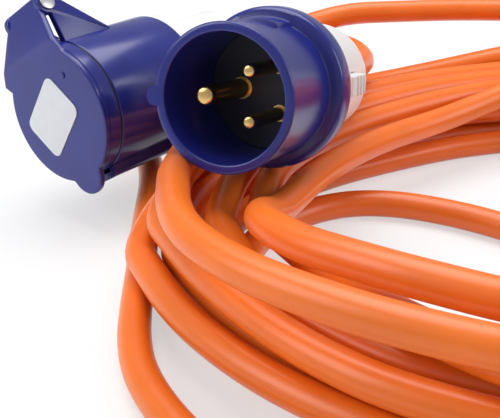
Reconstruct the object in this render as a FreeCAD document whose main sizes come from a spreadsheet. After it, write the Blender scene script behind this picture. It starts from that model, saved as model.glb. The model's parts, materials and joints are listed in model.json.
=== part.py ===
"""Shore power cord for a caravan: a blue plug, a blue connector with a sprung lid, and ten metres of
orange cable wound in one loose coil. Millimetres, +Z up, the floor at Z = 0."""

import FreeCAD, Part
import math
import os
import re

from FreeCAD import Placement, Rotation, Vector

os.makedirs("parts", exist_ok=True)
doc = FreeCAD.newDocument("ShorePowerCord")

# Driving dimensions

SIZES = {
    "cable_radius": 5.6,
    "floor_flat": 0.5,
    "layer_rise": 11.8,
    "strand_step": 12.6,
    # plug front
    "shroud_radius": 24.5,
    "shroud_wall": 2.5,
    "shroud_depth": 36,
    "rim_lip": 0.8,
    "flange_radius": 29.5,
    "flange_length": 10,
    "flange_bevel": 2,
    "key_reach": 4.2,
    "key_width": 6,
    "key_gap": 0.4,
    "pad_width": 20,
    "pad_length": 13,
    "pad_height": 1.2,
    "face_gap": 1,
    "carrier_length": 15,
    "carrier_rim": 9,
    "fit_gap": 0.15,
    # contacts
    "contact_circle": 10,
    "earth_pin_radius": 3.5,
    "pole_pin_radius": 2.5,
    "earth_pin_recess": 6,
    "pole_pin_recess": 9.5,
    "pin_bevel": 1,
    "pin_collar": 0.6,
    "terminal_radius": 4.3,
    "terminal_length": 12,
    "screw_radius": 1.5,
    "screw_head_radius": 2.6,
    "screw_head_height": 1.6,
    "screw_length": 4,
    "screw_foot": 1,
    "wire_radius": 1.6,
    "wire_spread": 2.5,
    "wire_inset": 2,
    "contact_wall": 1.1,
    "contact_base": 3,
    "contact_play": 0.1,
    # connector front
    "sleeve_margin": 3.5,
    "sleeve_radius": "=shroud_radius + sleeve_margin",
    "mating_gap": 0.7,
    "sleeve_end": 56,
    "base_length": 8,
    "insert_setback": 3,
    "bulge_wall": 2.6,
    "lid_plate": 2.6,
    "lid_depth": 8,
    "lid_wall": 2.2,
    "gasket_height": 0.9,
    "gasket_gap": 0.1,
    "lobe_radius": 9,
    "lobe_reach": 6.5,
    "wing_height": 17,
    "wing_half_width": 23.5,
    "hinge_reach": 41,
    "hinge_depth": 9,
    "hinge_pin_radius": 1.75,
    "hinge_gap": 0.1,
    "knuckle_radius": 4,
    "knuckle_length": 5.5,
    "tongue_half_width": 10,
    "ear_gap": 0.4,
    "ear_thickness": 3,
    "ear_radius": 4.5,
    "ear_length": 27,
    "ear_sink": 1.5,
    "pin_head_radius": 3.2,
    "pin_head_length": 1,
    "spring_wire_radius": 0.5,
    "spring_turns": 5,
    "label_side": 25,
    "label_corner": 4,
    "label_offset": 3,
    "label_turn": 45,
    "label_thickness": 0.4,
    "dot_radius": 1.4,
    "dot_along": 12,
    "dot_across": 14,
    "dot_height": 0.6,
    # rear end, the same on both couplers
    "skirt_radius": 27,
    "skirt_length": 8,
    "groove_radius": 24,
    "groove_length": 2,
    "barrel_radius": 22,
    "barrel_length": 32,
    "barrel_wall": 2.5,
    "rear_wall": 4,
    "tab_half_width": 4,
    "tab_length": 15,
    "tab_start": 11,
    "tab_reach": 4.5,
    "tab_depth": 3,
    "tab_gap": 0.3,
    "ridge_size": 0.8,
    "spigot_radius": 13,
    "spigot_length": 16,
    "seal_radius": 8.8,
    "nut_radius": 17,
    "nut_end_radius": 14,
    "nut_length": 25,
    "nut_gap": 0.3,
    "nut_grips": 12,
    "grip_radius": 1.5,
    "grip_offset": 0.6,
    "nut_bore": 8.2,
    "relief_gap": 0.4,
    "relief_length": 16,
    "relief_end_radius": 6.6,
    "sheath_length": 12,
    "clamp_half_width": 15,
    "clamp_half_height": 8,
    "clamp_length": 6,
    "clamp_gap": 0.1,
    "clamp_setback": 3,
    "clamp_screw_spread": 11,
}

sheet = doc.addObject("Spreadsheet::Sheet", "Sizes")
for row, (alias, value) in enumerate(SIZES.items(), start=1):
    sheet.set(f"A{row}", alias)
    sheet.set(f"B{row}", str(value))
    sheet.setAlias(f"B{row}", alias)
doc.recompute()


def size(alias):
    """The value of one cell of the sheet."""
    return float(sheet.get(alias))


WORD = re.compile(r"[a-z]+(?:_[a-z]+)+")


def formula(text):
    """An expression over the sheet's cells, written with their bare aliases."""
    return WORD.sub(lambda found: "Sizes." + found.group(0), str(text))


def bind(item, **formulas):
    for name, text in formulas.items():
        item.setExpression(name.replace("_", "."), formula(text))


def place(item, x, y, z):
    bind(item, Placement_Base_x=x, Placement_Base_y=y, Placement_Base_z=z)


# Shapes along a coupler's own axis: Z runs from its mating face to its cable

counter = iter(range(10000))


def new(kind):
    return doc.addObject(kind, f"Shape{next(counter)}")


def rod(radius, start, length, x="0", y="0"):
    item = new("Part::Cylinder")
    bind(item, Radius=radius, Height=length)
    place(item, x, y, start)
    return item


def taper(radius, end_radius, start, length):
    item = new("Part::Cone")
    bind(item, Radius1=radius, Radius2=end_radius, Height=length)
    place(item, "0", "0", start)
    return item


def block(x, y, z, width, depth, height):
    """A box from its low corner."""
    item = new("Part::Box")
    bind(item, Length=width, Width=depth, Height=height)
    place(item, x, y, z)
    return item


def cross_rod(radius, length, x, y, z, axis):
    """A cylinder along another axis than Z."""
    item = new("Part::Cylinder")
    item.Placement = Placement(Vector(), Rotation(Vector(0, 0, 1), axis))
    bind(item, Radius=radius, Height=length)
    place(item, x, y, z)
    return item


def join(*pieces):
    item = new("Part::MultiFuse")
    item.Shapes = list(pieces)
    return item


def cut(base, *tools):
    item = new("Part::Cut")
    item.Base = base
    item.Tool = tools[0] if len(tools) == 1 else join(*tools)
    return item


def solid(shape):
    """A piece whose shape is made here in code from the sheet's sizes."""
    item = new("Part::Feature")
    item.Shape = shape
    return item


nodes = []


def name(label, item, where):
    """Names a finished sub-part and sets it in its place."""
    item.Label = label
    item.Placement = where.multiply(item.Placement)
    nodes.append(item)


# Where the couplers lie

LAYOUT_CENTRE = Vector(95.4, 314.6, 0)


def frame(origin, axis, side):
    """A placement whose Z is the axis and whose X leans as near as it can to the side given."""
    across = axis.cross(side)
    return Placement(origin - LAYOUT_CENTRE, Rotation(across.cross(axis), across, axis, "ZXY"))


PLUG_AXIS = Vector(0.411, 0.888, -0.2).normalize()
PLUG_KEY_SIDE = Vector(-1, 0, 0)
plug = frame(Vector(-9.1, 285.2, 73.9), PLUG_AXIS, PLUG_KEY_SIDE)

CONNECTOR_AXIS = Vector(0.623, 0.782, 0.01).normalize()
HINGE_SIDE = Vector(-0.421, 0.324, 0.848)
connector = frame(Vector(-76.5, 342.6, 47.4), CONNECTOR_AXIS, HINGE_SIDE)
floor_frame = Placement(Vector() - LAYOUT_CENTRE, Rotation())

PLUG_POLES = {"earth": 0, "line": 120, "neutral": 240}
CONNECTOR_POLES = {"earth": 180, "line": 60, "neutral": 300}


def on_circle(circle, angle):
    """The two coordinates of a point on a circle, as formulas."""
    turn = math.radians(angle)
    return f"{circle} * {math.cos(turn):.6f}", f"{circle} * {math.sin(turn):.6f}"


# Tubes: straight runs with tangent arcs, and coils on biarcs

def arc_middle(start, direction, end):
    """The middle of the circular arc that leaves start along direction and reaches end."""
    chord = end - start
    side = (chord - direction * chord.dot(direction)).normalize()
    half = math.atan2(chord.dot(side), chord.dot(direction))
    radius = chord.Length / (2 * math.sin(half))
    return start + direction * (radius * math.sin(half)) + side * (radius * (1 - math.cos(half)))


def arc_or_line(start, direction, end, from_end=False):
    """An arc with the given direction at its start, or at its end, or a line where it is straight."""
    straight = 1e-6
    chord = end - start
    if chord.cross(direction).Length < straight * chord.Length:
        return Part.LineSegment(start, end)
    if from_end:
        return Part.Arc(start, arc_middle(end, direction * -1, start), end)
    return Part.Arc(start, arc_middle(start, direction, end), end)


def biarc(start, start_tangent, end, end_tangent):
    """Two tangent arcs between two points with given tangents."""
    gap = end - start
    both = start_tangent + end_tangent
    a = 2 * (start_tangent.dot(end_tangent) - 1)
    b = 2 * gap.dot(both)
    c = gap.dot(gap)
    reach = c / b if abs(a) < 1e-9 else (b - math.sqrt(b * b - 4 * a * c)) / (2 * a)
    if reach < 0:
        reach = (b + math.sqrt(b * b - 4 * a * c)) / (2 * a)
    meet = (start + start_tangent * reach + end - end_tangent * reach) * 0.5
    return [arc_or_line(start, start_tangent, meet), arc_or_line(meet, end_tangent, end, from_end=True)]


def sweep(path, start, tangent, radius):
    """A round tube along a path, by a pipe shell in default mode."""
    wire = Part.Wire([piece.toShape() for piece in path])
    ring = Part.Wire([Part.makeCircle(radius, start, tangent)])
    shell = Part.BRepOffsetAPI.MakePipeShell(wire)
    shell.add(ring)
    shell.build()
    shell.makeSolid()
    return shell.shape()


def route_tube(points, radius, title):
    """A tube on straight runs, with an arc at each corner as large as its two runs allow."""
    share = 0.45
    path = []
    radii = []
    start = points[0]
    for before, corner, after in zip(points, points[1:], points[2:]):
        inward = (corner - before).normalize()
        onward = (after - corner).normalize()
        half_turn = inward.getAngle(onward) / 2
        setback = share * min((corner - before).Length, (after - corner).Length)
        radii.append(setback / math.tan(half_turn))
        arc_start = corner - inward * setback
        arc_end = corner + onward * setback
        path.append(Part.LineSegment(start, arc_start))
        path.append(arc_or_line(arc_start, inward, arc_end))
        start = arc_end
    path.append(Part.LineSegment(start, points[-1]))
    tube = sweep(path, points[0], (points[1] - points[0]).normalize(), radius)
    length = sum(piece.length() for piece in path)
    section = math.pi * radius ** 2
    print(f"{title}: length {length:.0f}, radii {min(radii):.0f} to {max(radii):.0f},"
          f" volume over section times length {tube.Volume / (section * length):.4f}")
    return tube


# The coil: rings of cable wound upward from the floor, seen as eight stations a turn

STATIONS = 8
FIRST_STATION = 0
LAST_STATION = 87

# One station each at the left, the near side, the right and the far side, and the way outward there
BASE = [(-25, 292), (-17, 232), (38, 187), (122, 166), (232, 200), (276, 325), (190, 462), (60, 462)]
OUTWARD = [(-1, 0), (-0.88, -0.47), (-0.42, -0.91), (-0.03, -1), (0.72, -0.7), (1, 0.08), (0.42, 0.91),
           (-0.36, 0.93)]

# How far each layer leans outward at each station, and how the first turn fans out on the floor
LEAN = [(15, -2, 0, 0, 0, 0, -24, -38), (20, 2, 4, 5, 3, 0, -16, -28), (4, -3, 8, 9, 6, 6, -2, -28)]
FAN = (2, 16, 30, 42, 30, 14, 4, 0)
FIRST_LAYER_TURNS = 3.2
SECOND_LAYER_TURNS = 5.5
CLIMB_TURNS = 5.4
CLIMB_LEVEL = 1.3

# The turns on top lie loosely: their own offsets outward, in mm, and their levels, in layers
LOOSE_OFFSET = {15: -62.6, 17: -29.4, 26: -38, 27: -23, 63: -60.5, 64: -29.5, 65: -43, 66: -14, 67: 4,
                68: -6, 69: -20, 70: -42, 71: -75, 72: -52, 73: -37, 74: -16, 75: -15, 76: -11, 77: 0, 78: -5, 79: 1, 80: 0, 81: 0,
                82: 4, 83: 4, 84: 4, 85: 3, 86: 6}
LOOSE_LEVEL = {24: 0, 25: 0.45, 26: 1, 64: 2, 65: 2.1, 66: 3.05, 67: 3, 68: 3, 69: 3, 70: 3, 71: 1.8,
               72: 2.3, 73: 3.7, 74: 4.15, 75: 4, 76: 4.12, 77: 3.55, 78: 3.1, 79: 1.2, 80: 3.5,
               81: 3.9, 82: 4, 83: 4, 84: 4.5, 85: 4.7, 86: 4.2, 87: 4.1, 88: 4}

# Both ends of the coil, and a smaller loop that lies inside it on the floor
LOOSE_PLACE = {-1: (-41, 325), 0: (-40, 292), 19: (98, 207), 20: (130, 230), 21: (135, 277),
               22: (99, 329), 23: (40, 347.5), 24: (-1.5, 300), 25: (20, 251), 87: (74, 484),
               88: (44.7, 478.7)}


def station_offset(index):
    """How far outward the cable lies at a station: layers wind in, out and in again."""
    if index in LOOSE_OFFSET:
        return LOOSE_OFFSET[index]
    turns = index / STATIONS
    side = index % STATIONS
    if turns < FIRST_LAYER_TURNS:
        layer, slot = 0, turns
    elif turns <= SECOND_LAYER_TURNS:
        layer, slot = 1, SECOND_LAYER_TURNS - turns
    else:
        layer, slot = 2, turns - SECOND_LAYER_TURNS
    fan = FAN[side] if turns < 1 else 0
    return LEAN[layer][side] + fan - size("strand_step") * slot


def station_level(index):
    if index in LOOSE_LEVEL:
        return LOOSE_LEVEL[index]
    turns = index / STATIONS
    if turns < FIRST_LAYER_TURNS:
        return 0
    if turns < CLIMB_TURNS:
        return 1
    return CLIMB_LEVEL if turns <= SECOND_LAYER_TURNS else 2


def station(index):
    """The middle of the cable at a station."""
    side = index % STATIONS
    if index in LOOSE_PLACE:
        x, y = LOOSE_PLACE[index]
    else:
        out = Vector(*OUTWARD[side], 0).normalize() * station_offset(index)
        x, y = BASE[side][0] + out.x, BASE[side][1] + out.y
    floor_height = size("cable_radius") - size("floor_flat")
    return Vector(x, y, floor_height + size("layer_rise") * station_level(index))


def tangent(index):
    """The way of the cable at a station, on the curve through its two neighbours."""
    into = station(index) - station(index - 1)
    away = station(index + 1) - station(index)
    way = into * (away.Length / into.Length) + away * (into.Length / away.Length)
    level = Vector(way.x, way.y, 0).normalize()
    slope_in = into.z / into.Length
    slope_out = away.z / away.Length
    climbs_on = slope_in * slope_out > 0
    slope = 2 * slope_in * slope_out / (slope_in + slope_out) if climbs_on else 0
    return Vector(level.x, level.y, slope).normalize()


def coil_path():
    path = []
    for index in range(FIRST_STATION, LAST_STATION):
        path += biarc(station(index), tangent(index), station(index + 1), tangent(index + 1))
    return path


def least_gap(path, radius):
    """The least gap of the coil to itself, measured on points along its middle line."""
    step = 3
    apart = 12 * radius
    points = []
    for piece in path:
        points += piece.toShape().discretize(Distance=step)[:-1]
    cell = 2 * radius + step
    grid = {}
    for index, point in enumerate(points):
        grid.setdefault((int(point.x // cell), int(point.y // cell)), []).append(index)
    least = 10 * radius
    skip = int(apart / step)
    for (column, row), members in grid.items():
        near = [other for i in (-1, 0, 1) for j in (-1, 0, 1) for other in grid.get((column + i, row + j), [])]
        for first in members:
            for second in near:
                if second - first > skip:
                    least = min(least, (points[first] - points[second]).Length)
    return least - 2 * radius


def above_floor(tube):
    """The tube without the thin slice by which it would lie under the floor."""
    margin = 1
    box = tube.BoundBox
    corner = Vector(box.XMin - margin, box.YMin - margin, -size("cable_radius"))
    under = Part.makeBox(box.XLength + 2 * margin, box.YLength + 2 * margin, size("cable_radius"), corner)
    return tube.cut(under)


def build_coil():
    radius = size("cable_radius")
    path = coil_path()
    tube = sweep(path, station(FIRST_STATION), tangent(FIRST_STATION), radius)
    length = sum(piece.toShape().Length for piece in path)
    section = math.pi * radius ** 2
    print(f"coil: length {length:.0f}, least gap to itself {least_gap(path, radius):.2f},"
          f" volume over section times length {tube.Volume / (section * length):.4f}")
    name("cable_coil", solid(above_floor(tube)), floor_frame)


# The two tails, from each coupler's gland to the coil

TAIL_RUN = 33
PLUG_TAIL = [(48.5, 478, 40), (10, 503, 33), (-33, 496, 26), (-59, 460, 20), (-56, 414, 15.5), (-42, 372, 11.5)]
PLUG_TAIL_START = 39
CONNECTOR_TAIL_START = 24


def rear_length():
    names = ("skirt_length", "groove_length", "barrel_length", "nut_gap", "nut_length", "relief_length")
    return sum(size(part) for part in names)


def build_tails():
    radius = size("cable_radius")
    plug_end = size("shroud_depth") + size("flange_length") + rear_length()
    connector_end = size("sleeve_end") + rear_length()
    start = floor_frame.inverse().multVec(plug.multVec(Vector(0, 0, plug_end)))
    points = [start, start + PLUG_AXIS * PLUG_TAIL_START]
    points += [Vector(*point) for point in PLUG_TAIL]
    points += [station(FIRST_STATION) - tangent(FIRST_STATION) * TAIL_RUN, station(FIRST_STATION)]
    name("cable_plug_tail", solid(above_floor(route_tube(points, radius, "plug tail"))), floor_frame)
    start = floor_frame.inverse().multVec(connector.multVec(Vector(0, 0, connector_end)))
    points = [start, start + CONNECTOR_AXIS * CONNECTOR_TAIL_START]
    points += [station(LAST_STATION) + tangent(LAST_STATION) * CONNECTOR_TAIL_START, station(LAST_STATION)]
    name("cable_connector_tail", solid(route_tube(points, radius, "connector tail")), floor_frame)


# Contacts and their wiring, shared by both couplers

# Where the lock tab's grip ridges stand, as shares of its length
RIDGE_PLACES = (0.3, 0.55, 0.8)

def radial_screw(angle, start, label, where):
    """A small screw that points at the axis from outside a terminal, at the terminal's middle."""
    turn = math.radians(angle)
    outward = Vector(math.cos(turn), math.sin(turn), 0)
    foot = "(contact_circle + screw_foot)"
    seat = "(contact_circle + screw_foot + screw_length)"
    shank = cross_rod("screw_radius", "screw_length", *on_circle(foot, angle), start, outward)
    head = cross_rod("screw_head_radius", "screw_head_height", *on_circle(seat, angle), start, outward)
    name(label, join(shank, head), where)


def terminal_holes(angle, start):
    """The screw's hole in a terminal, with the fit's gap round it."""
    turn = math.radians(angle)
    outward = Vector(math.cos(turn), math.sin(turn), 0)
    foot = "(contact_circle + screw_foot - fit_gap)"
    return cross_rod("screw_radius + fit_gap", "terminal_radius", *on_circle(foot, angle), start, outward)


def wires(prefix, poles, start, rear_start, where):
    """One core from each terminal into the cut end of the sheath."""
    sheath_start = rear_start + sum(size(part) for part in ("skirt_length", "groove_length", "barrel_length"))
    sheath_start -= size("rear_wall") + size("sheath_length")
    along = Vector(0, 0, 1)
    for pole, angle in poles.items():
        turn = math.radians(angle)
        away = Vector(math.cos(turn), math.sin(turn), 0)
        first = away * size("contact_circle") + along * start
        last = away * size("wire_spread") + along * sheath_start
        path = biarc(first, along, last, along)
        path.append(Part.LineSegment(last, last + along * size("wire_inset")))
        core = sweep(path, first, along, size("wire_radius"))
        name(f"{prefix}_wire_{pole}", solid(core), where)


def rear_end(prefix, poles, start, tab_angle, where):
    """Housing, lock tab, gland, sheath and cord clamp, from the formula of the place they start at."""
    groove = f"({start} + skirt_length)"
    barrel = f"({groove} + groove_length)"
    barrel_end = f"({barrel} + barrel_length)"
    skirt = rod("skirt_radius", start, "skirt_length")
    neck = rod("groove_radius", groove, "groove_length")
    wall = rod("barrel_radius", barrel, "barrel_length")
    spigot = rod("spigot_radius", barrel_end, "spigot_length")
    cavity = rod("barrel_radius - barrel_wall", start,
                 "skirt_length + groove_length + barrel_length - rear_wall")
    bore = rod("seal_radius + fit_gap", start, "skirt_length + groove_length + barrel_length + spigot_length")
    window = block("barrel_radius - barrel_wall - tab_depth", "-tab_half_width - tab_gap",
                   f"{start} + tab_start - tab_gap", "barrel_wall + tab_depth + tab_reach",
                   "2 * tab_half_width + 2 * tab_gap", "tab_length + 2 * tab_gap")
    turned = Placement(Vector(), Rotation(Vector(0, 0, 1), tab_angle))
    shell = cut(join(skirt, neck, wall, spigot), cavity, bore, window)
    name(f"{prefix}_rear_housing", shell, where.multiply(turned))
    tab = block("barrel_radius - barrel_wall - tab_depth", "-tab_half_width", f"{start} + tab_start",
                "barrel_wall + tab_depth + tab_reach", "2 * tab_half_width", "tab_length")
    ridges = [block("barrel_radius + tab_reach - ridge_size", "-tab_half_width",
                    f"{start} + tab_start + tab_length * {share}", "2 * ridge_size", "2 * tab_half_width",
                    "ridge_size") for share in RIDGE_PLACES]
    name(f"{prefix}_lock_tab", join(tab, *ridges), where.multiply(turned))

    nut_start = f"({barrel_end} + nut_gap)"
    body = taper("nut_radius", "nut_end_radius", nut_start, "nut_length")
    thread = rod("spigot_radius + fit_gap", nut_start, "spigot_length")
    hole = rod("nut_bore", nut_start, "nut_length")
    grips = []
    for index in range(int(size("nut_grips"))):
        spot = on_circle("(nut_radius + grip_offset)", 360 * index / size("nut_grips"))
        grips.append(rod("grip_radius", nut_start, "nut_length", *spot))
    name(f"{prefix}_gland_nut", cut(body, thread, hole, *grips), where)

    seal = rod("seal_radius", f"{barrel_end} - rear_wall", "rear_wall + spigot_length")
    throat = rod("nut_bore - relief_gap", f"{barrel_end} + spigot_length",
                 "nut_gap + nut_length - spigot_length")
    relief = taper("nut_bore - relief_gap", "relief_end_radius", f"{nut_start} + nut_length", "relief_length")
    name(f"{prefix}_gland_seal", join(seal, throat, relief), where)

    sheath_start = f"({barrel_end} - rear_wall - sheath_length)"
    cores = [rod("wire_radius", sheath_start, "wire_inset", *on_circle("wire_spread", angle))
             for angle in poles.values()]
    name(f"{prefix}_cord_sheath", cut(rod("cable_radius", sheath_start, "sheath_length"), *cores), where)
    clamp_start = f"({sheath_start} + sheath_length - clamp_length - clamp_setback)"
    bar = block("-clamp_half_height", "-clamp_half_width", clamp_start, "2 * clamp_half_height",
                "2 * clamp_half_width", "clamp_length")
    grip_bore = rod("cable_radius + clamp_gap", clamp_start, "clamp_length")
    middle = f"{clamp_start} + clamp_length / 2"
    drilled = [cross_rod("screw_radius + fit_gap", "2 * clamp_half_height", "-clamp_half_height", spread,
                         middle, Vector(1, 0, 0)) for spread in ("clamp_screw_spread", "-clamp_screw_spread")]
    name(f"{prefix}_cord_clamp", cut(bar, grip_bore, *drilled), where)
    for index, spread in enumerate(("clamp_screw_spread", "-clamp_screw_spread"), start=1):
        shank = cross_rod("screw_radius", "2 * clamp_half_height", "-clamp_half_height", spread, middle,
                          Vector(1, 0, 0))
        head = cross_rod("screw_head_radius", "screw_head_height", "clamp_half_height", spread, middle,
                         Vector(1, 0, 0))
        name(f"{prefix}_clamp_screw_{index}", join(shank, head), where)


# Plug

def build_plug():
    flange_end = "(shroud_depth + flange_length)"
    wall = rod("shroud_radius", "0", "shroud_depth")
    lip = rod("shroud_radius + rim_lip", "0", "2 * rim_lip")
    collar = rod("flange_radius", "shroud_depth + flange_bevel", "flange_length - 2 * flange_bevel")
    front = taper("flange_radius - flange_bevel", "flange_radius", "shroud_depth", "flange_bevel")
    back = taper("flange_radius", "flange_radius - flange_bevel", f"{flange_end} - flange_bevel",
                 "flange_bevel")
    key_box = block("shroud_radius - shroud_wall / 2", "-key_width / 2", "0",
                    "key_reach - key_width / 2 + shroud_wall / 2", "key_width", "shroud_depth")
    key_nose = rod("key_width / 2", "0", "shroud_depth", "shroud_radius + key_reach - key_width / 2")
    pad = block("-pad_width / 2", "shroud_radius - shroud_wall", "shroud_depth - pad_length", "pad_width",
                "shroud_wall + pad_height", "pad_length")
    pad_limit = rod("shroud_radius + pad_height", "shroud_depth - pad_length", "pad_length")
    raised = new("Part::Common")
    raised.Base = pad
    raised.Tool = pad_limit
    bore = rod("shroud_radius - shroud_wall", "0", "shroud_depth + flange_length")
    name("plug_shroud", cut(join(wall, lip, collar, front, back, key_box, key_nose, raised), bore), plug)

    face = "(shroud_depth + face_gap)"
    rear = f"({face} + carrier_length)"
    disc = rod("shroud_radius - shroud_wall - fit_gap", face, "carrier_rim")
    stem = rod("barrel_radius - barrel_wall - fit_gap", face, "carrier_length")
    holes = []
    for pole, angle in PLUG_POLES.items():
        radius = f"({'earth' if pole == 'earth' else 'pole'}_pin_radius)"
        recess = f"({'earth' if pole == 'earth' else 'pole'}_pin_recess)"
        spot = on_circle("contact_circle", angle)
        collar = f"({radius} + pin_collar)"
        holes.append(rod(f"{collar} + fit_gap / 2", face, "carrier_length", *spot))
        nose = rod(f"{radius} - pin_bevel / 2", recess, "2 * pin_bevel", *spot)
        shank = rod(radius, f"{recess} + pin_bevel", f"{face} - {recess} - pin_bevel", *spot)
        foot = rod(collar, face, "carrier_length", *spot)
        terminal = rod("terminal_radius", rear, "terminal_length", *spot)
        middle = f"{rear} + terminal_length / 2"
        name(f"plug_pin_{pole}", cut(join(nose, shank, foot, terminal), terminal_holes(angle, middle)), plug)
        radial_screw(angle, middle, f"plug_terminal_screw_{pole}", plug)
    name("plug_contact_carrier", cut(join(disc, stem), *holes), plug)
    terminal_end = sum(size(part) for part in ("shroud_depth", "face_gap", "carrier_length", "terminal_length"))
    wires("plug", PLUG_POLES, terminal_end, size("shroud_depth") + size("flange_length"), plug)
    rear_end("plug", PLUG_POLES, flange_end, 180, plug)


# Connector

def ear(side):
    """A gusset beside the lid's tongue that carries the hinge pin."""
    inner = size("tongue_half_width") + size("ear_gap")
    thickness = size("ear_thickness")
    reach = size("hinge_reach")
    depth = size("hinge_depth")
    radius = size("ear_radius")
    root = math.sqrt(size("sleeve_radius") ** 2 - (inner + thickness) ** 2) - size("ear_sink")
    front = size("lid_depth") + size("gasket_height") + size("gasket_gap")
    low = inner if side > 0 else -inner - thickness
    pivot = Vector(reach, low, depth)
    foot = Vector(root, low, front + size("ear_length"))
    slope = math.atan2(foot.z - depth, foot.x - reach)
    touch = slope - math.acos(radius / (foot - pivot).Length)
    tip = pivot + Vector(math.cos(touch), 0, math.sin(touch)) * radius
    turn = (touch + math.atan2(front - depth, -math.sqrt(radius ** 2 - (front - depth) ** 2)) - 2 * math.pi) / 2
    middle = pivot + Vector(math.cos(turn), 0, math.sin(turn)) * radius
    heel_x = reach - math.sqrt(radius ** 2 - (front - depth) ** 2)
    heel = Vector(heel_x, low, front)
    corner = Vector(root, low, front)
    outline = [Part.LineSegment(corner, heel), Part.Arc(heel, middle, tip), Part.LineSegment(tip, foot),
               Part.LineSegment(foot, corner)]
    face = Part.Face(Part.Wire([edge.toShape() for edge in outline]))
    return solid(face.extrude(Vector(0, thickness, 0)))


def build_sleeve():
    front = "(lid_depth + gasket_height + gasket_gap)"
    length = f"(sleeve_end - {front})"
    keyway_reach = "(shroud_radius + key_reach + key_gap)"
    wall = rod("sleeve_radius", front, length)
    bulge_half = "(key_width / 2 + key_gap + bulge_wall)"
    bulge = block(f"-{keyway_reach} - bulge_wall", f"-{bulge_half}", front,
                  f"{keyway_reach} + bulge_wall - shroud_radius", f"2 * {bulge_half}", length)
    ears = [ear(1), ear(-1)]
    bore = rod("shroud_radius + mating_gap", front, f"{length} - base_length")
    seat = rod("barrel_radius - barrel_wall", front, length)
    keyway = block(f"-{keyway_reach}", "-key_width / 2 - key_gap", front, keyway_reach,
                   "key_width + 2 * key_gap", f"{length} - base_length")
    pin_hole = cross_rod("hinge_pin_radius + hinge_gap / 2", "4 * tongue_half_width", "hinge_reach",
                         "-2 * tongue_half_width", "hinge_depth", Vector(0, 1, 0))
    name("connector_sleeve", cut(join(wall, bulge, *ears), bore, seat, keyway, pin_hole), connector)


def build_insert():
    front = "(lid_depth + gasket_height + gasket_gap + insert_setback)"
    rear = "sleeve_end"
    nose = rod("shroud_radius - shroud_wall - mating_gap", front, f"{rear} - base_length - {front} - fit_gap")
    stem = rod("barrel_radius - barrel_wall - fit_gap", front, f"{rear} - {front}")
    holes = []
    for pole, angle in CONNECTOR_POLES.items():
        pin = f"({'earth' if pole == 'earth' else 'pole'}_pin_radius)"
        spot = on_circle("contact_circle", angle)
        outer = f"({pin} + contact_play + contact_wall)"
        holes.append(rod(f"{outer} + fit_gap / 2", front, f"{rear} - {front}", *spot))
        mouth = f"({front} + face_gap)"
        socket = rod(outer, mouth, f"{rear} - {mouth}", *spot)
        terminal = rod("terminal_radius", rear, "terminal_length", *spot)
        throat = rod(f"{pin} + contact_play", mouth, f"{rear} - {mouth} - contact_base", *spot)
        middle = f"{rear} + terminal_length / 2"
        contact = cut(join(socket, terminal), throat, terminal_holes(angle, middle))
        name(f"connector_contact_{pole}", contact, connector)
        radial_screw(angle, middle, f"connector_terminal_screw_{pole}", connector)
    name("connector_contact_insert", cut(join(nose, stem), *holes), connector)
    terminal_end = size("sleeve_end") + size("terminal_length")
    wires("connector", CONNECTOR_POLES, terminal_end, size("sleeve_end"), connector)


def lid_plate():
    """The lid's flat outline: a disc, a lobe over the keyway and two wings that rise to the tongue."""
    radius = size("sleeve_radius")
    thick = size("lid_plate")
    disc = Part.makeCylinder(radius, thick)
    lobe_centre = radius + size("lobe_reach") - size("lobe_radius")
    lobe = Part.makeCylinder(size("lobe_radius"), thick, Vector(-lobe_centre, 0, 0))
    half = size("tongue_half_width")
    tip = size("hinge_reach") + size("knuckle_radius")
    wing = Vector(size("wing_height"), size("wing_half_width"), 0)
    corners = [Vector(tip, half, 0), wing, Vector(wing.x, -wing.y, 0), Vector(tip, -half, 0)]
    wings = Part.Face(Part.makePolygon(corners + corners[:1])).extrude(Vector(0, 0, thick))
    return solid(disc.fuse([lobe, wings]))


def build_lid():
    skirt = rod("sleeve_radius", "lid_plate", "lid_depth - lid_plate")
    hollow = rod("sleeve_radius - lid_wall", "lid_plate", "lid_depth - lid_plate")
    knuckles = []
    for start in ("tongue_half_width - knuckle_length", "-tongue_half_width"):
        barrel = cross_rod("knuckle_radius", "knuckle_length", "hinge_reach", start, "hinge_depth",
                           Vector(0, 1, 0))
        web = block("hinge_reach - knuckle_radius", start, "0", "2 * knuckle_radius", "knuckle_length",
                    "hinge_depth")
        knuckles += [barrel, web]
    dot = rod("dot_radius", "-dot_height", "dot_height + lid_plate", "dot_along", "dot_across")
    pin_hole = cross_rod("hinge_pin_radius + hinge_gap", "2 * tongue_half_width", "hinge_reach",
                         "-tongue_half_width", "hinge_depth", Vector(0, 1, 0))
    cup = cut(skirt, hollow)
    name("lid", cut(join(lid_plate(), cup, *knuckles, dot), pin_hole), connector)

    ring = rod("sleeve_radius - lid_wall / 4", "lid_depth", "gasket_height")
    inside = rod("sleeve_radius - lid_wall", "lid_depth", "gasket_height")
    name("lid_gasket", cut(ring, inside), connector)

    side = size("label_side")
    card = Part.makeBox(side, side, size("label_thickness"), Vector(-side / 2, -side / 2, 0))
    upright = [edge for edge in card.Edges if abs(edge.tangentAt(0).z) > 0.9]
    card = card.makeFillet(size("label_corner"), upright)
    spot = Vector(-size("label_offset"), 0, -size("label_thickness"))
    turned = Placement(spot, Rotation(Vector(0, 0, 1), size("label_turn")))
    name("lid_label", solid(card), connector.multiply(turned))


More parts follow.
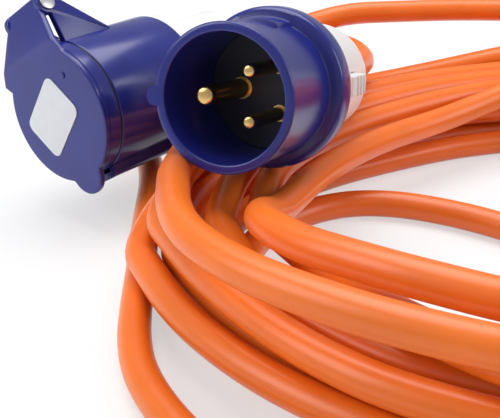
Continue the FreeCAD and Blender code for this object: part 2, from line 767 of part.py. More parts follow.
def build_hinge():
    half = "(tongue_half_width + ear_gap + ear_thickness)"
    across = Vector(0, 1, 0)
    shank = cross_rod("hinge_pin_radius", f"2 * {half}", "hinge_reach", f"-{half}", "hinge_depth", across)
    heads = [cross_rod("pin_head_radius", "pin_head_length", "hinge_reach", start, "hinge_depth", across)
             for start in (half, f"-{half} - pin_head_length")]
    name("lid_hinge_pin", join(shank, *heads), connector)

    wire = size("spring_wire_radius")
    radius = size("hinge_pin_radius") + size("hinge_gap") + 2 * wire
    room = 2 * (size("tongue_half_width") - size("knuckle_length")) - 4 * wire
    pitch = room / size("spring_turns")
    path = []

    def turn_point(halves):
        angle = math.pi * halves
        rise = halves * pitch / 2 - room / 2
        return Vector(size("hinge_reach") + radius * math.cos(angle), rise,
                      size("hinge_depth") + radius * math.sin(angle))

    def turn_way(halves):
        angle = math.pi * halves
        return Vector(-radius * math.sin(angle), pitch / (2 * math.pi), radius * math.cos(angle)).normalize()

    for halves in range(2 * int(size("spring_turns"))):
        path += biarc(turn_point(halves), turn_way(halves), turn_point(halves + 1), turn_way(halves + 1))
    name("lid_spring", solid(sweep(path, turn_point(0), turn_way(0), wire)), connector)


build_plug()
build_sleeve()
build_insert()
build_lid()
build_hinge()
rear_end("connector", CONNECTOR_POLES, "sleeve_end", 90, connector)
build_coil()
build_tails()
doc.recompute()

# Checks, then one STEP file for each sub-part

for item in doc.Objects:
    if "Invalid" in item.State or "Error" in item.State:
        raise RuntimeError(f"{item.Label} did not compute: {item.State}")
whole = FreeCAD.BoundBox()
for item in nodes:
    if item.Shape.isNull() or not item.Shape.isValid():
        raise RuntimeError(f"{item.Label} has no valid shape")
    if len(item.Shape.Solids) != 1:
        raise RuntimeError(f"{item.Label} has {len(item.Shape.Solids)} solids")
    whole.add(item.Shape.BoundBox)
for item in nodes:
    item.Shape.exportStep(f"parts/{item.Label}.step")
print(f"{len(nodes)} sub-parts, {whole.XMin:.2f} to {whole.XMax:.2f}, {whole.YMin:.2f} to {whole.YMax:.2f},"
      f" {whole.ZMin:.2f} to {whole.ZMax:.2f}")
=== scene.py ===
"""Shore power cord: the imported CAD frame, dressed with moulded forms and procedural materials."""

import bmesh
import bpy
import json
import math
from mathutils import Matrix, Vector


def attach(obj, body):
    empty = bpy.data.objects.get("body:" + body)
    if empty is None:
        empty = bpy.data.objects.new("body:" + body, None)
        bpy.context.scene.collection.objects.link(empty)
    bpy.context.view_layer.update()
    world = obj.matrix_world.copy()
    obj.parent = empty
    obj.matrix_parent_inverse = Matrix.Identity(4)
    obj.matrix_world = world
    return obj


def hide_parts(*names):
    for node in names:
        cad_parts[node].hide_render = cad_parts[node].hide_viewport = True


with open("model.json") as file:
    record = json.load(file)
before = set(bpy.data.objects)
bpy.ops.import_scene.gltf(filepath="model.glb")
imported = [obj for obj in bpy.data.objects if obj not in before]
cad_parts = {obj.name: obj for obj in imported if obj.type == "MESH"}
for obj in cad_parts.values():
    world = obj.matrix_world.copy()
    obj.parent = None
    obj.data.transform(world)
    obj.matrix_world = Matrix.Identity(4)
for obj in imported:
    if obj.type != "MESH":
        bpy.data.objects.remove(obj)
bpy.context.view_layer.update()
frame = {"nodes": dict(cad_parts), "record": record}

MM = 0.001
MERGE = 0.01 * MM
SHARP_EDGE = math.radians(38)
LAYOUT_CENTRE = Vector((95.4, 314.6, 0))


# Materials

PATCH_ENDS = (0.3, 0.7)
GLOSS_RANGE = (0.85, 1.15)


def surface(name, colour, roughness, tint=0.08, tint_scale=60, grain=0.25, grain_scale=2500,
            grain_depth=0.00002, **fixed):
    """A Principled material whose colour, gloss and surface vary a little over the piece."""
    material = bpy.data.materials.new(name)
    material.use_nodes = True
    nodes, links = material.node_tree.nodes, material.node_tree.links
    shader = nodes["Principled BSDF"]
    place = nodes.new("ShaderNodeTexCoord")
    patches = nodes.new("ShaderNodeTexNoise")
    patches.inputs["Scale"].default_value = tint_scale
    patches.inputs["Detail"].default_value = 5
    links.new(place.outputs["Object"], patches.inputs["Vector"])
    ramp = nodes.new("ShaderNodeValToRGB")
    low, high = ramp.color_ramp.elements
    low.position, high.position = PATCH_ENDS
    low.color = [*(part * (1 - tint) for part in colour), 1]
    high.color = [*(min(1, part * (1 + tint)) for part in colour), 1]
    links.new(patches.outputs["Fac"], ramp.inputs["Fac"])
    links.new(ramp.outputs["Color"], shader.inputs["Base Color"])
    fine = nodes.new("ShaderNodeTexNoise")
    fine.inputs["Scale"].default_value = grain_scale
    fine.inputs["Detail"].default_value = 3
    links.new(place.outputs["Object"], fine.inputs["Vector"])
    gloss = nodes.new("ShaderNodeMapRange")
    gloss.inputs["To Min"].default_value = roughness * GLOSS_RANGE[0]
    gloss.inputs["To Max"].default_value = roughness * GLOSS_RANGE[1]
    links.new(patches.outputs["Fac"], gloss.inputs["Value"])
    links.new(gloss.outputs["Result"], shader.inputs["Roughness"])
    bump = nodes.new("ShaderNodeBump")
    bump.inputs["Strength"].default_value = grain
    bump.inputs["Distance"].default_value = grain_depth
    links.new(fine.outputs["Fac"], bump.inputs["Height"])
    links.new(bump.outputs["Normal"], shader.inputs["Normal"])
    for socket, value in fixed.items():
        shader.inputs[socket.replace("_", " ")].default_value = value
    return material


METAL = {"Metallic": 1.0}
LOOKS = {
    "orange_cable": surface("orange_pvc", (0.84, 0.17, 0.012), 0.36, tint=0.07, tint_scale=28, grain=0.35,
                            grain_scale=420, grain_depth=0.00008, Subsurface_Weight=0.12,
                            Subsurface_Radius=(0.006, 0.002, 0.0005), Coat_Weight=0.12, Coat_Roughness=0.3),
    "blue_shell": surface("blue_moulding", (0.016, 0.022, 0.2), 0.22, tint=0.1, grain_scale=700, grain=0.12,
                          Coat_Weight=0.1, Coat_Roughness=0.12),
    "blue_insert": surface("blue_insert_moulding", (0.02, 0.026, 0.17), 0.3, tint=0.1),
    "black_insert": surface("dark_insert_moulding", (0.008, 0.01, 0.03), 0.38, tint=0.1),
    "white_shell": surface("white_moulding", (0.8, 0.8, 0.79), 0.3, tint=0.02, grain_scale=900, grain=0.15),
    "white_nut": surface("white_nut_moulding", (0.76, 0.76, 0.75), 0.36, tint=0.02, grain_scale=900),
    "grey_clamp": surface("grey_clamp_moulding", (0.35, 0.36, 0.38), 0.45, tint=0.05),
    "black_rubber": surface("black_rubber", (0.018, 0.018, 0.02), 0.6, tint=0.2, grain_scale=1500),
    "brass_contact": surface("turned_brass", (0.78, 0.53, 0.2), 0.24, tint=0.06, tint_scale=300, grain=0.2,
                             grain_scale=4000, **METAL),
    "steel_screw": surface("zinc_steel", (0.62, 0.62, 0.6), 0.32, tint=0.05, **METAL),
    "hinge_steel": surface("hinge_steel", (0.6, 0.6, 0.6), 0.28, tint=0.05, **METAL),
    "spring_steel": surface("spring_steel", (0.5, 0.5, 0.5), 0.3, tint=0.05, **METAL),
    "label_stock": surface("label_stock", (0.68, 0.7, 0.73), 0.42, tint=0.03, tint_scale=200, grain=0.3,
                           grain_scale=3000),
    "green_yellow_core": surface("earth_core", (0.42, 0.5, 0.04), 0.4, tint=0.3, tint_scale=300),
    "brown_core": surface("line_core", (0.16, 0.06, 0.02), 0.4),
    "blue_core": surface("neutral_core", (0.03, 0.12, 0.5), 0.4),
}

SLOTS = {row["node"]: row["material_slot"] for row in frame["record"]["subparts"]}
for node, item in frame["nodes"].items():
    item.data.materials.clear()
    item.data.materials.append(LOOKS[SLOTS[node]])


# Forms in a coupler's own axes, in millimetres: Z runs from its mating face to its cable

def coupler(origin, axis, side):
    along = Vector(axis).normalized()
    key = (Vector(side) - along * along.dot(Vector(side))).normalized()
    turn = Matrix((key, along.cross(key), along)).transposed().to_4x4()
    return Matrix.Translation((Vector(origin) - LAYOUT_CENTRE) * MM) @ turn @ Matrix.Scale(MM, 4)


PLUG = coupler((-9.1, 285.2, 73.9), (0.411, 0.888, -0.2), (-1, 0, 0))
CONNECTOR = coupler((-76.5, 342.6, 47.4), (0.623, 0.782, 0.01), (-0.421, 0.324, 0.848))


def eased(corners, closed=True, steps=4):
    """Corner points, each with its corner rounded over the length that its third number gives."""
    points = []
    last = len(corners) - 1
    for index, (first, second, ease) in enumerate(corners):
        here = Vector((first, second))
        if not ease or (not closed and index in (0, last)):
            points.append(here)
            continue
        back = Vector(corners[index - 1][:2]) - here
        on = Vector(corners[(index + 1) % (last + 1)][:2]) - here
        start = here + back.normalized() * min(ease, back.length * 0.49)
        end = here + on.normalized() * min(ease, on.length * 0.49)
        for step in range(steps + 1):
            share = step / steps
            points.append(start * (1 - share) ** 2 + here * 2 * share * (1 - share) + end * share ** 2)
    return points


def lathe(corners, closed=True, sides=96, shape=None, hole=None):
    """A turned form: a profile of radius and height, closed or ending on the axis."""
    profile = eased(corners, closed)
    rings = len(profile)
    verts = []
    for radius, height in profile:
        for side in range(sides):
            angle = 2 * math.pi * side / sides
            reach = shape(radius, height, angle) if shape and radius > 0 else radius
            verts.append((reach * math.cos(angle), reach * math.sin(angle), height))
    faces = []
    for ring in range(rings if closed else rings - 1):
        for side in range(sides):
            if hole and hole(profile[ring], profile[(ring + 1) % rings], 2 * math.pi * (side + 0.5) / sides):
                continue
            upper, beside = (ring + 1) % rings * sides, (side + 1) % sides
            faces.append((ring * sides + side, ring * sides + beside, upper + beside, upper + side))
    return verts, faces


# The rounded edge of a prism, as shares of its size inward and upward, and a limit on its corners' points
ROUND_EDGE = [(1, 0), (0.6, 0.08), (0.29, 0.29), (0.08, 0.6), (0, 1)]
SHARPEST_TURN = 0.35


def prism(outline, low, high, ease, axes=(0, 1, 2), fill=0):
    """A straight form over a flat outline, with eased edges, and its axes put in another order. Each end
    is one face, which lies inside fill - 1 rings where fill is given."""
    count = len(outline)
    inward = []
    for index in range(count):
        before, here, after = outline[index - 1], outline[index], outline[(index + 1) % count]
        one, two = (here - before).normalized(), (after - here).normalized()
        normal = Vector((-one.y - two.y, one.x + two.x))
        half_turn = math.sqrt(max(0, (1 + one.dot(two)) / 2))
        inward.append(normal.normalized() / max(SHARPEST_TURN, half_turn))
    rings = [(ease * inset, low + ease * rise) for inset, rise in ROUND_EDGE]
    rings += [(ease * inset, high - ease * rise) for inset, rise in reversed(ROUND_EDGE)]
    verts = []
    for inset, height in rings:
        for point, normal in zip(outline, inward):
            flat = point + normal * inset
            spot = (flat.x, flat.y, height)
            verts.append(tuple(spot[axes.index(axis)] for axis in range(3)))
    first, end = verts[:count], verts[-count:]
    for step in range(1, fill):
        share = 1 - step / fill
        verts = [(x * share, y * share, z) for x, y, z in first] + verts
        verts += [(x * share, y * share, z) for x, y, z in end]
    faces = [tuple(range(count)), tuple(range(len(verts) - count, len(verts)))]
    for ring in range(len(verts) // count - 1):
        for side in range(count):
            beside = (side + 1) % count
            faces.append((ring * count + side, ring * count + beside, (ring + 1) * count + beside,
                          (ring + 1) * count + side))
    return verts, faces


def circle(radius, middle, sides=40):
    turns = [2 * math.pi * side / sides for side in range(sides)]
    return [Vector((math.cos(turn), math.sin(turn))) * radius + middle for turn in turns]


def moved(form, x=0, y=0, z=0):
    verts, faces = form
    return [(a + x, b + y, c + z) for a, b, c in verts], faces


def rotated(form, degrees):
    turn = Matrix.Rotation(math.radians(degrees), 3, "Z")
    verts, faces = form
    return [tuple(turn @ Vector(vert)) for vert in verts], faces


def piece(name, forms, where, body, node, *others):
    """One object made of the forms, in the place of the CAD nodes named."""
    mesh = bpy.data.meshes.new(name)
    verts, faces = [], []
    for form_verts, form_faces in forms:
        start = len(verts)
        verts += [where @ Vector(vert) for vert in form_verts]
        faces += [tuple(start + index for index in face) for face in form_faces]
    mesh.from_pydata(verts, [], faces)
    work = bmesh.new()
    work.from_mesh(mesh)
    bmesh.ops.remove_doubles(work, verts=work.verts, dist=MERGE)
    bmesh.ops.recalc_face_normals(work, faces=work.faces)
    work.to_mesh(mesh)
    work.free()
    mesh.shade_smooth()
    mesh.set_sharp_from_angle(angle=SHARP_EDGE)
    item = bpy.data.objects.new(name, mesh)
    bpy.context.scene.collection.objects.link(item)
    mesh.materials.append(LOOKS[SLOTS[node]])
    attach(item, body)
    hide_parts(node, *others)
    return item


def oblong(half_x, half_y, corner, steps=5):
    corners = [(half_x, -half_y, corner), (half_x, half_y, corner), (-half_x, half_y, corner),
               (-half_x, -half_y, corner)]
    return eased(corners, True, steps)


def lug(radius, angle, at, half_width, reach, round_over):
    """The reach of a rib that stands out of a turned wall at an angle."""
    away = (angle - at + math.pi) % (2 * math.pi) - math.pi
    across = radius * math.sin(away)
    if math.cos(away) < 0 or abs(across) > half_width:
        return radius
    short = half_width - abs(across)
    drop = round_over - math.sqrt(max(0, round_over ** 2 - max(0, round_over - short) ** 2))
    return max(radius, math.hypot(reach - drop, across))


# Plug

SHROUD_BORE = 22
SHROUD_DEPTH = 36
FLANGE_END = 46
CARRIER_FACE = 37
CARRIER_END = 52
KEY_HALF_WIDTH = 3
KEY_REACH = 28.7
KEY_ROUND = 2.9
PAD_START = 23
PAD_HALF_ANGLE = 0.41
PAD_HEIGHT = 1.1
PAD_SLOPE = 0.03
POLE_CIRCLE = 10


def plug_wall(radius, height, angle):
    """The key rib at angle 0 and the raised pad at a right angle to it."""
    if radius < SHROUD_BORE + 1 or height > SHROUD_DEPTH - 0.1:
        return radius
    radius = lug(radius, angle, 0, KEY_HALF_WIDTH, KEY_REACH, KEY_ROUND)
    away = abs((angle - math.pi / 2 + math.pi) % (2 * math.pi) - math.pi)
    if height > PAD_START and away < PAD_HALF_ANGLE:
        radius += PAD_HEIGHT * min(1, (PAD_HALF_ANGLE - away) / PAD_SLOPE)
    return radius


SHROUD = [(SHROUD_BORE, 0, 0.7), (25.3, 0, 1.1), (25.3, 1.7, 0.5), (24.5, 2.4, 0.3), (24.5, 22.9, 0),
          (24.5, 23.1, 0), (24.5, 35.7, 0.6), (29.5, SHROUD_DEPTH, 2.4), (29.5, FLANGE_END, 1.8),
          (SHROUD_BORE, FLANGE_END, 0)]
shroud_form = lathe(SHROUD, sides=256, shape=plug_wall)
shroud = piece("plug_shroud_moulded", [shroud_form], PLUG, "cord", "plug_shroud")

PLUG_POLES = {"earth": (3.5, 6, 0), "line": (2.5, 9.5, 120), "neutral": (2.5, 9.5, 240)}
plug_pieces = [shroud]
for pole, (radius, recess, angle) in PLUG_POLES.items():
    turn = math.radians(angle)
    shank = lathe([(0, recess, 0), (radius * 0.8, recess + 0.1, 1.4), (radius, recess + 1.6, 1.2),
                   (radius, CARRIER_FACE, 0), (radius + 0.6, CARRIER_FACE, 0), (radius + 0.6, CARRIER_END, 0),
                   (4.3, CARRIER_END, 0.2), (4.3, 64, 0.3), (0, 64, 0)], closed=False, sides=48)
    shank = moved(shank, POLE_CIRCLE * math.cos(turn), POLE_CIRCLE * math.sin(turn))
    plug_pieces.append(piece(f"plug_pin_{pole}_turned", [shank], PLUG, "cord", f"plug_pin_{pole}"))


# Rear end, the same on both couplers

BARREL_END = 42
SPIGOT_LENGTH = 16
NUT_START = BARREL_END + 0.3
NUT_LENGTH = 25
NUT_BORE = 8.2
NUT_GRIPS = 12
GRIP_DEPTH = 0.9
GRIP_SHARE = 0.17
THREAD_RADIUS = 13.15
SLEEVE_END = 56
RELIEF_GROOVES = 4
GROOVE_PITCH = 3.4


def rear_end(prefix, start, tab_angle, where):
    """The rear housing, its lock tab, the gland nut and its seal, from the height at which they start."""
    def window(one, two, angle):
        low, high = sorted((one.y, two.y))
        return min(one.x, two.x) > 19 and low > start + 10 and high < start + 27 and abs(
            (angle + math.pi) % (2 * math.pi) - math.pi) < 0.2

    housing = [(27, 0, 0.8), (27, 8, 1.1), (24, 8, 0.3), (24, 10, 0.3), (22, 10, 0.3), (22, 10.7, 0),
               (22, 26.3, 0), (22, BARREL_END, 1.3), (13, BARREL_END, 0.3),
               (13, BARREL_END + SPIGOT_LENGTH, 0.4), (8.95, BARREL_END + SPIGOT_LENGTH, 0), (8.95, 38, 0),
               (19.5, 38, 0), (19.5, 26.3, 0), (19.5, 10.7, 0), (19.5, 0, 0)]
    wall = lathe([(radius, start + height, ease) for radius, height, ease in housing], sides=128, hole=window)
    shell = piece(f"{prefix}_rear_housing_moulded", [rotated(wall, tab_angle)], where, "cord",
                  f"{prefix}_rear_housing")
    tab = prism([Vector((start + 18.5 + a, b)) for a, b in oblong(7.5, 4, 1.2)], 16.5, 26.5, 0.9, (2, 1, 0))
    ridge = prism(oblong(0.45, 3.7, 0.4, 2), 26.1, 27.2, 0.35, (2, 1, 0))
    ridges = [moved(ridge, z=start + 11 + 15 * share + 0.4) for share in (0.3, 0.55, 0.8)]
    latch = piece(f"{prefix}_lock_tab_moulded", [rotated(form, tab_angle) for form in [tab, *ridges]], where,
                  f"{prefix}_tab", f"{prefix}_lock_tab")

    def fluted(radius, height, angle):
        if radius < THREAD_RADIUS + 0.35:
            return radius
        swing = (angle * NUT_GRIPS / (2 * math.pi) + 0.5) % 1 - 0.5
        return radius - GRIP_DEPTH * max(0, 1 - (swing / GRIP_SHARE) ** 2)

    nut_start = start + NUT_START
    nut_end = nut_start + NUT_LENGTH
    nut = [(THREAD_RADIUS, nut_start, 0), (17, nut_start, 0.9), (14, nut_end, 1.6), (NUT_BORE, nut_end, 0.3),
           (NUT_BORE, nut_start + SPIGOT_LENGTH, 0), (THREAD_RADIUS, nut_start + SPIGOT_LENGTH, 0)]
    ring = piece(f"{prefix}_gland_nut_moulded", [lathe(nut, sides=192, shape=fluted)], where, f"{prefix}_nut",
                 f"{prefix}_gland_nut")
    spigot_end = start + BARREL_END + SPIGOT_LENGTH
    boot = [(0, start + 38, 0), (8.8, start + 38, 0), (8.8, spigot_end, 0), (7.8, spigot_end, 0),
            (7.8, nut_end, 0)]
    for groove in range(RELIEF_GROOVES):
        height = nut_end + 1.5 + GROOVE_PITCH * groove
        outer = 7.75 - 0.075 * (height - nut_end)
        boot += [(outer, height, 0.3), (outer - 0.6, height + 0.4, 0.2), (outer - 0.65, height + 1.3, 0.2),
                 (outer - 0.1, height + 1.7, 0.3)]
    boot += [(6.6, nut_end + 16, 0.6), (5.4, nut_end + 16, 0.2), (0, nut_end + 15.6, 0)]
    seal = piece(f"{prefix}_gland_seal_moulded", [lathe(boot, closed=False)], where, "cord",
                 f"{prefix}_gland_seal")
    return [shell, latch, ring, seal]


plug_pieces += rear_end("plug", FLANGE_END, 180, PLUG)
rear_end("connector", SLEEVE_END, 90, CONNECTOR)


# Connector: sleeve with its keyway bulge and two ears, and the lid

def sleeve_wall(radius, height, angle):
    if radius > 26:
        return lug(radius, angle, math.pi, 6, 31.7, 2.5)
    if radius > 24:
        return lug(radius, angle, math.pi, 3.4, 29.1, 0.6)
    return radius


SLEEVE = [(25.2, 9, 0.3), (28, 9, 0.8), (28, SLEEVE_END, 1.2), (19.5, SLEEVE_END, 0), (19.5, 48, 0),
          (25.2, 48, 0.3)]
HINGE = Vector((41, 9))
HINGE_PIN_RADIUS = 1.75
PIN_HEAD_RADIUS = 3.2
PIN_HEAD_LENGTH = 1
EAR_RADIUS = 4.5
EAR_THICKNESS = 3
EAR_SPAN = 13.4
KNUCKLE_RADIUS = 4
KNUCKLE_LENGTH = 5.5


def bow(radius, degrees):
    """Points of an arc about the hinge, at the angles given."""
    turns = [math.radians(angle) for angle in degrees]
    return [(HINGE.x + radius * math.cos(turn), HINGE.y + radius * math.sin(turn), 0) for turn in turns]


ear_outline = eased([(22.6, 9, 0), (36.5, 9, 0.4), *bow(EAR_RADIUS, range(200, 403, 14)), (22.6, 36, 0.8)])
ears = [prism(ear_outline, low, low + EAR_THICKNESS, 0.5, (0, 2, 1)) for low in (10.4, -EAR_SPAN)]
piece("connector_sleeve_moulded", [lathe(SLEEVE, sides=256, shape=sleeve_wall), *ears], CONNECTOR, "cord",
      "connector_sleeve")


LID_RADIUS = 28.0
LID_PLATE = 2.6
LOBE_MIDDLE = -25.5
LOBE_RADIUS = 9
TONGUE_TIP = 45
TONGUE_HALF_WIDTH = 10
WINGS = [(Vector((TONGUE_TIP, TONGUE_HALF_WIDTH)), Vector((20, 19.6))),
         (Vector((TONGUE_TIP, -TONGUE_HALF_WIDTH)), Vector((20.5, -25)))]
BEND_START = 26
BEND_SLOPE = 0.34


def lid_reach(angle):
    """The lid's outline seen from its middle: a disc, a lobe over the keyway and the wings to the hinge."""
    way = Vector((math.cos(angle), math.sin(angle)))
    reach = LID_RADIUS
    centre = Vector((LOBE_MIDDLE, 0))
    near = way.dot(centre)
    inside = near ** 2 - centre.length_squared + LOBE_RADIUS ** 2
    if inside > 0:
        reach = max(reach, near + math.sqrt(inside))
    for tip, wing in WINGS:
        span = wing - tip
        cross = way.x * span.y - way.y * span.x
        if abs(cross) > 1e-9:
            distance = (tip.x * span.y - tip.y * span.x) / cross
            share = (tip.x * way.y - tip.y * way.x) / cross
            if distance > 0 and 0 <= share <= 1:
                reach = max(reach, distance)
    if abs(way.y) * TONGUE_TIP <= abs(way.x) * TONGUE_HALF_WIDTH + 1e-6 and way.x > 0:
        reach = TONGUE_TIP / way.x
    return reach


corner = math.atan2(TONGUE_HALF_WIDTH, TONGUE_TIP)
lid_angles = sorted([2 * math.pi * side / 180 for side in range(180)] + [corner, 2 * math.pi - corner])
lid_outline = [Vector((math.cos(turn), math.sin(turn))) * lid_reach(turn) for turn in lid_angles]
plate_verts, plate_faces = prism(lid_outline, 0, LID_PLATE, 0.7, fill=24)
plate = [(x, y, z + BEND_SLOPE * max(0, x - BEND_START)) for x, y, z in plate_verts], plate_faces
skirt = lathe([(25.8, 2.4, 0), (28, 2.4, 0), (28, 8, 0.5), (25.8, 8, 0.3)], sides=128)
KNUCKLE = [(37.4, 6, 0), (44.7, 7.4, 0.4)]
KNUCKLE += bow(KNUCKLE_RADIUS, range(0, 181, 12))
knuckles = [prism(eased(KNUCKLE), low, low + KNUCKLE_LENGTH, 0.35, (0, 2, 1)) for low in (4.5, -10)]
DOT = [(0, -0.6, 0), (1.4, -0.6, 0.5), (1.4, 0.6, 0), (0, 0.6, 0)]
dot = moved(lathe(DOT, closed=False, sides=32), 12, 14)
piece("lid_moulded", [plate, skirt, *knuckles, dot], CONNECTOR, "lid", "lid")
label = moved(rotated(prism(oblong(14.5, 10.2, 4, 8), -0.4, 0, 0.12), 64), 0, -3.4)
piece("lid_label_card", [label], CONNECTOR, "lid", "lid_label")
pin = prism(circle(HINGE_PIN_RADIUS, HINGE), -EAR_SPAN, EAR_SPAN, 0.1, (0, 2, 1))
heads = [prism(circle(PIN_HEAD_RADIUS, HINGE), low, low + PIN_HEAD_LENGTH, 0.4, (0, 2, 1))
         for low in (EAR_SPAN, -EAR_SPAN - PIN_HEAD_LENGTH)]
piece("lid_hinge_pin_turned", [pin, *heads], CONNECTOR, "cord", "lid_hinge_pin")


# The cable: the coil's turns by the tables of the CAD route, and a tail to each coupler

RADIUS = 5.6
STATIONS = 8
LAST_STATION = 87
STRAND_STEP = 12.6
LAYER_RISE = 11.8
BASE = [(-25, 292), (-17, 232), (38, 187), (122, 166), (232, 200), (276, 325), (190, 462), (60, 462)]
OUTWARD = [(-1, 0), (-0.88, -0.47), (-0.42, -0.91), (-0.03, -1), (0.72, -0.7), (1, 0.08), (0.42, 0.91),
           (-0.36, 0.93)]
LEAN = [(15, -2, 0, 0, 0, 0, -24, -38), (20, 2, 4, 5, 3, 0, -16, -28), (4, -3, 8, 9, 6, 6, -2, -28)]
FAN = (2, 16, 30, 42, 30, 14, 4, 0)
LOOSE_OFFSET = {15: -62.6, 17: -29.4, 26: -38, 27: -23, 63: -60.5, 64: -29.5, 65: -43, 66: -14, 67: 4,
                68: -6, 69: -20, 70: -42, 71: -75, 72: -52, 73: -37, 74: -16, 75: -15, 76: -11, 77: 0,
                78: -5, 79: 1, 80: 0, 81: 0, 82: 4, 83: 4, 84: 4, 85: 3, 86: 6}
LOOSE_LEVEL = {24: 0, 25: 0.45, 26: 1, 64: 2, 65: 2.1, 66: 3.05, 67: 3, 68: 3, 69: 3, 70: 3, 71: 1.8,
               72: 2.3, 73: 3.7, 74: 4.15, 75: 4, 76: 4.12, 77: 3.55, 78: 3.1, 79: 1.2, 80: 3.5,
               81: 3.9, 82: 4, 83: 4, 84: 4.5, 85: 4.7, 86: 4.2, 87: 4.1, 88: 4}
LOOSE_PLACE = {-1: (-41, 325), 0: (-40, 292), 19: (98, 207), 20: (130, 230), 21: (135, 277),
               22: (99, 329), 23: (40, 347.5), 24: (-1.5, 300), 25: (20, 251), 87: (74, 484),
               88: (44.7, 478.7)}
NUDGE = {1: 4, 2: 4, 48: 8, 72: 14, 73: 12}
PLUG_TAIL = [(48.5, 478, 40), (10, 503, 33), (-33, 496, 26), (-59, 460, 20), (-56, 414, 15.5),
             (-42, 372, 11.5)]
FIRST_LAYER_TURNS = 3.2
SECOND_LAYER_TURNS = 5.5
CLIMB_TURNS = 5.4
CLIMB_LEVEL = 1.3
PLUG_GLAND, PLUG_RUN = 129.3, 39
CONNECTOR_GLAND, CONNECTOR_RUN = 139.3, 24
COIL_RUN = 33


def station_offset(index):
    """How far outward the cable lies at a station."""
    if index in LOOSE_OFFSET:
        return LOOSE_OFFSET[index]
    turns = index / STATIONS
    if turns < FIRST_LAYER_TURNS:
        layer, slot = 0, turns
    elif turns <= SECOND_LAYER_TURNS:
        layer, slot = 1, SECOND_LAYER_TURNS - turns
    else:
        layer, slot = 2, turns - SECOND_LAYER_TURNS
    fan = FAN[index % STATIONS] if turns < 1 else 0
    return LEAN[layer][index % STATIONS] + fan - STRAND_STEP * slot


def station_level(index):
    turns = index / STATIONS
    if index in LOOSE_LEVEL:
        return LOOSE_LEVEL[index]
    if turns < FIRST_LAYER_TURNS:
        return 0
    if turns < CLIMB_TURNS:
        return 1
    return CLIMB_LEVEL if turns <= SECOND_LAYER_TURNS else 2


def station(index):
    """The middle of the cable at one of the eight stations of a turn."""
    side = index % STATIONS
    if index in LOOSE_PLACE:
        x, y = LOOSE_PLACE[index]
    else:
        away = Vector(OUTWARD[side]).normalized() * (station_offset(index) + NUDGE.get(index, 0))
        x, y = BASE[side][0] + away.x, BASE[side][1] + away.y
    return Vector((x, y, RADIUS + LAYER_RISE * station_level(index)))


def tangent(index):
    into, away = station(index) - station(index - 1), station(index + 1) - station(index)
    way = into * (away.length / into.length) + away * (into.length / away.length)
    level = Vector((way.x, way.y, 0)).normalized()
    rise, fall = into.z / into.length, away.z / away.length
    slope = 2 * rise * fall / (rise + fall) if rise * fall > 0 else 0
    return Vector((level.x, level.y, slope)).normalized()


def between(index, share):
    """A point of the turn between two stations."""
    start, end = station(index), station(index + 1)
    reach = (end - start).length
    return (start * (1 + 2 * share) * (1 - share) ** 2 + end * share ** 2 * (3 - 2 * share)
            + tangent(index) * reach * share * (1 - share) ** 2
            - tangent(index + 1) * reach * share ** 2 * (1 - share))


# The spline passes each corner by an eighth of the way to both neighbours, so the corners are moved out
THIRDS = (0, 1 / 3, 2 / 3)
CUT_SHORT = 0.125
on_turns = [between(index, share) for index in range(LAST_STATION) for share in THIRDS]
on_turns.append(station(LAST_STATION))
coil = [on_turns[0]]
for before, here, after in zip(on_turns, on_turns[1:], on_turns[2:]):
    coil.append(here * (1 + 2 * CUT_SHORT) - (before + after) * CUT_SHORT)
coil.append(on_turns[-1])


def gland(where, height, run):
    """The middle of a gland's end and the first corner of its tail, in the layout's millimetres."""
    return [(where @ Vector((0, 0, height + step))) / MM + LAYOUT_CENTRE for step in (0, run)]


connector_end = gland(CONNECTOR, CONNECTOR_GLAND, CONNECTOR_RUN)
plug_end = gland(PLUG, PLUG_GLAND, PLUG_RUN)
route = connector_end + [station(LAST_STATION) + tangent(LAST_STATION) * CONNECTOR_RUN]
route += reversed(coil)
route.append(station(0) - tangent(0) * COIL_RUN)
route += [Vector(point) for point in reversed(PLUG_TAIL)] + plug_end[::-1]
curve = bpy.data.curves.new("shore_cable", "CURVE")
curve.dimensions = "3D"
spline = curve.splines.new("NURBS")
spline.points.add(len(route) - 1)
for point, spot in zip(spline.points, route):
    point.co = (*((spot - LAYOUT_CENTRE) * MM), 1)
spline.order_u = 3
spline.use_endpoint_u = True
spline.resolution_u = 6
curve.bevel_depth = RADIUS * MM
curve.bevel_resolution = 8
curve.materials.append(LOOKS["orange_cable"])
cable = bpy.data.objects.new("shore_cable", curve)
bpy.context.scene.collection.objects.link(cable)
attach(cable, "cord")
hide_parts("cable_coil", "cable_plug_tail", "cable_connector_tail")


# Floor, light and camera

FLOOR_GLOW = 0.55
CAMERA_HEIGHT = 173
CAMERA_TILT = 26

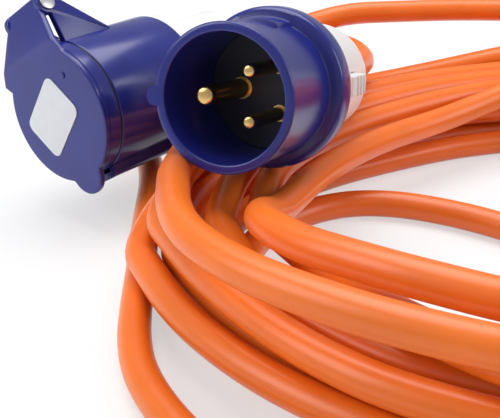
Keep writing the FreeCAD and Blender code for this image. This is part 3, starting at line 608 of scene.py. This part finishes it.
floor_material = bpy.data.materials.new("studio_floor")
floor_material.use_nodes = True
tree = floor_material.node_tree
tree.nodes.clear()
output = tree.nodes.new("ShaderNodeOutputMaterial")
paint = tree.nodes.new("ShaderNodeBsdfDiffuse")
paint.inputs["Color"].default_value = (0.86, 0.87, 0.88, 1)
glow = tree.nodes.new("ShaderNodeEmission")
glow.inputs["Color"].default_value = (1, 1, 1, 1)
rays = tree.nodes.new("ShaderNodeLightPath")
seen = tree.nodes.new("ShaderNodeMath")
seen.operation = "MULTIPLY"
seen.inputs[1].default_value = FLOOR_GLOW
either = tree.nodes.new("ShaderNodeMath")
either.operation = "MAXIMUM"
mix = tree.nodes.new("ShaderNodeMixShader")
tree.links.new(rays.outputs["Is Camera Ray"], either.inputs[0])
tree.links.new(rays.outputs["Is Glossy Ray"], either.inputs[1])
tree.links.new(either.outputs[0], seen.inputs[0])
tree.links.new(seen.outputs[0], mix.inputs["Fac"])
tree.links.new(paint.outputs[0], mix.inputs[1])
tree.links.new(glow.outputs[0], mix.inputs[2])
tree.links.new(mix.outputs[0], output.inputs["Surface"])

floor_mesh = bpy.data.meshes.new("studio_floor")
floor_mesh.from_pydata([(-6, -6, 0), (6, -6, 0), (6, 6, 0), (-6, 6, 0)], [], [(0, 1, 2, 3)])
floor_mesh.materials.append(floor_material)
floor = bpy.data.objects.new("studio_floor", floor_mesh)
bpy.context.scene.collection.objects.link(floor)

world = bpy.data.worlds.new("studio")
bpy.context.scene.world = world
world.use_nodes = True
world.node_tree.nodes["Background"].inputs["Color"].default_value = (0.95, 0.97, 1, 1)
world.node_tree.nodes["Background"].inputs["Strength"].default_value = 0.42


def lamp(name, place, target, wide, power):
    light = bpy.data.lights.new(name, "AREA")
    light.shape = "RECTANGLE"
    light.size, light.size_y = wide
    light.energy = power
    item = bpy.data.objects.new(name, light)
    item.location = place
    item.rotation_euler = (Vector(target) - Vector(place)).to_track_quat("-Z", "Y").to_euler()
    bpy.context.scene.collection.objects.link(item)


lamp("overhead", (-0.1, 0.25, 0.95), (0, 0, 0), (0.9, 0.7), 8)
lamp("left", (-0.9, -0.3, 0.6), (-0.05, 0, 0.03), (0.5, 0.6), 4)
lamp("right", (0.85, -0.1, 0.5), (0.05, 0, 0.03), (0.4, 0.5), 2.5)

lens = bpy.data.cameras.new("photo")
lens.lens = 65.8
lens.sensor_width = 36
lens.clip_start = 0.01
camera = bpy.data.objects.new("photo", lens)
camera.location = (Vector((0, 0, CAMERA_HEIGHT)) - LAYOUT_CENTRE) * MM
camera.rotation_euler = (math.radians(90 - CAMERA_TILT), 0, 0)
bpy.context.scene.collection.objects.link(camera)
bpy.context.scene.camera = camera
bpy.context.scene.view_settings.view_transform = "Standard"
